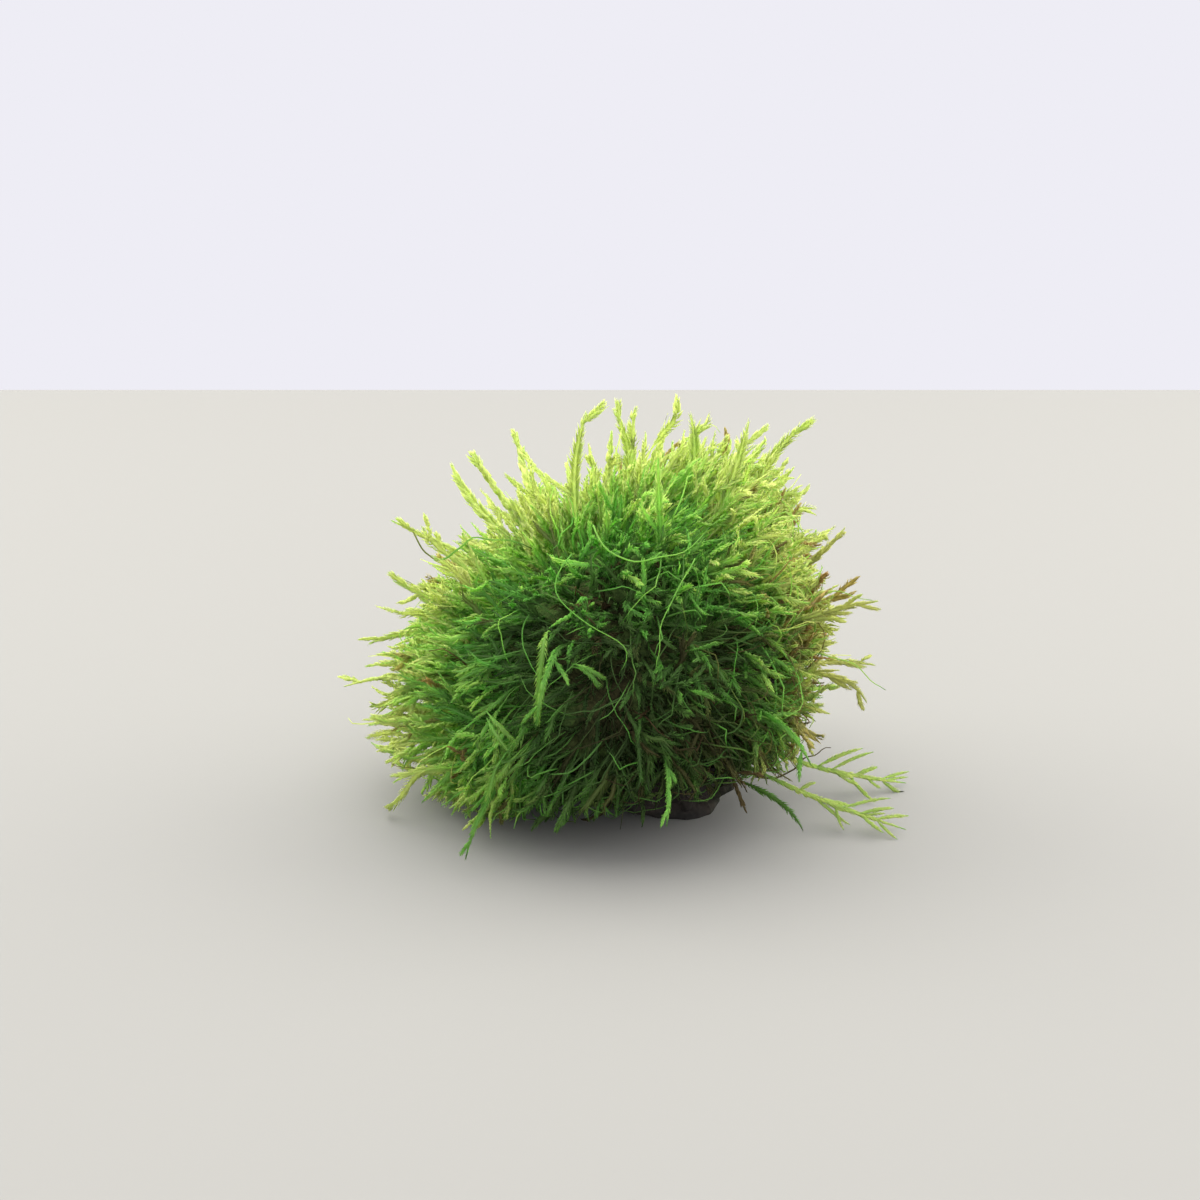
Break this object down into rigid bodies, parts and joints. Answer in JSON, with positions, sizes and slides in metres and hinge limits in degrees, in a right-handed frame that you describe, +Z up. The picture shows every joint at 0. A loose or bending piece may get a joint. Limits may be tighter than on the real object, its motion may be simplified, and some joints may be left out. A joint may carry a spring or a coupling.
{
  "type": "java moss on lava rock",
  "caption": "Round mound of aquarium moss shoots wrapped round a pitted lava rock that stands on a small flat spot.",
  "frame": {"origin": "middle of the whole footprint, on the surface that the rock stands on", "axes": "+Z up; +X towards the shoots that trail along the surface, the longest extent; -Y towards the side seen in the picture"},
  "size_m": [0.0844, 0.072, 0.061],
  "materials": {
    "lava_rock": "rough, matt, dark grey-brown scoria, full of gas pits",
    "moss_mat": "dense dark to mid green moss shoots",
    "moss_shoot": "thin, bright yellow-green leafy shoots, slightly translucent"
  },
  "bodies": {
    "root": {"lava_rock": "lava_rock", "moss_mat": "moss_mat", "left_shoot_1": "moss_shoot", "left_shoot_2": "moss_shoot", "left_shoot_3": "moss_shoot", "left_shoot_4": "moss_shoot", "left_shoot_5": "moss_shoot", "left_shoot_6": "moss_shoot", "left_shoot_7": "moss_shoot", "crown_shoot_1": "moss_shoot", "crown_shoot_2": "moss_shoot", "crown_shoot_3": "moss_shoot", "crown_shoot_4": "moss_shoot", "crown_shoot_5": "moss_shoot", "crown_shoot_6": "moss_shoot", "crown_shoot_7": "moss_shoot", "crown_shoot_8": "moss_shoot", "right_shoot_1": "moss_shoot", "right_shoot_2": "moss_shoot", "right_shoot_3": "moss_shoot", "right_shoot_4": "moss_shoot", "trailing_shoot_1": "moss_shoot", "trailing_shoot_2": "moss_shoot", "front_shoot_1": "moss_shoot", "front_shoot_2": "moss_shoot", "front_shoot_3": "moss_shoot", "front_shoot_4": "moss_shoot", "back_shoot_1": "moss_shoot", "back_shoot_2": "moss_shoot", "back_shoot_3": "moss_shoot", "back_shoot_4": "moss_shoot"}
  },
  "joints": []
}
